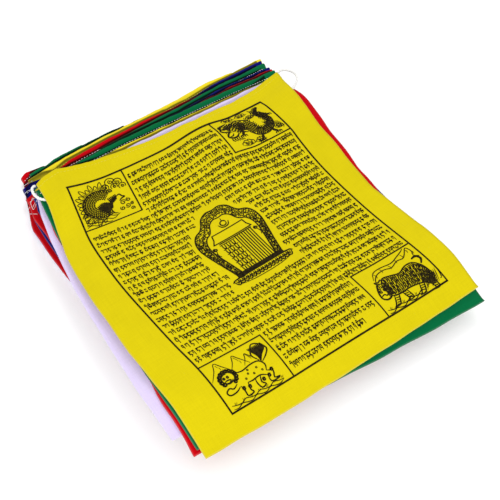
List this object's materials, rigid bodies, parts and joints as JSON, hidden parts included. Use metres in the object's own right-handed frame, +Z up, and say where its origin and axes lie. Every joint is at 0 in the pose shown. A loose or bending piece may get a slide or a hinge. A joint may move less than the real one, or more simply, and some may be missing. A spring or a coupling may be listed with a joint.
{
  "type": "prayer flag string",
  "caption": "String of cotton prayer flags folded to and fro into a flat pile, top flag printed, headings turned over a string whose loop and end show at the corners",
  "frame": {"origin": "centre of the pile in plan, on the surface that it lies on", "axes": "+X runs along the headings, to the right as the print is read; +Y points from the flags' feet to their headings; +Z is up"},
  "size_m": [0.2452, 0.2924, 0.0391],
  "materials": {
    "yellow": "thin plain-woven cotton, matte, dyed bright yellow; the top one printed in black",
    "green": "thin plain-woven cotton, matte, dyed dark green",
    "red": "thin plain-woven cotton, matte, dyed red",
    "white": "thin plain-woven cotton, matte, white with a lilac tinge",
    "blue": "thin plain-woven cotton, matte, dyed dark blue",
    "string": "twisted cotton string, undyed, matte"
  },
  "bodies": {
    "root": {"flag_01_yellow": "yellow", "flag_02_green": "green", "flag_03_red": "red", "flag_04_white": "white", "flag_05_blue": "blue", "flag_06_yellow": "yellow", "flag_07_green": "green", "flag_08_red": "red", "flag_09_white": "white", "flag_10_blue": "blue", "flag_11_yellow": "yellow", "flag_12_green": "green", "flag_13_red": "red", "flag_14_white": "white", "flag_15_blue": "blue", "flag_16_yellow": "yellow", "flag_17_green": "green", "flag_18_red": "red", "flag_19_white": "white", "flag_20_blue": "blue", "string_loop_left": "string", "string_end_right": "string"}
  },
  "joints": []
}
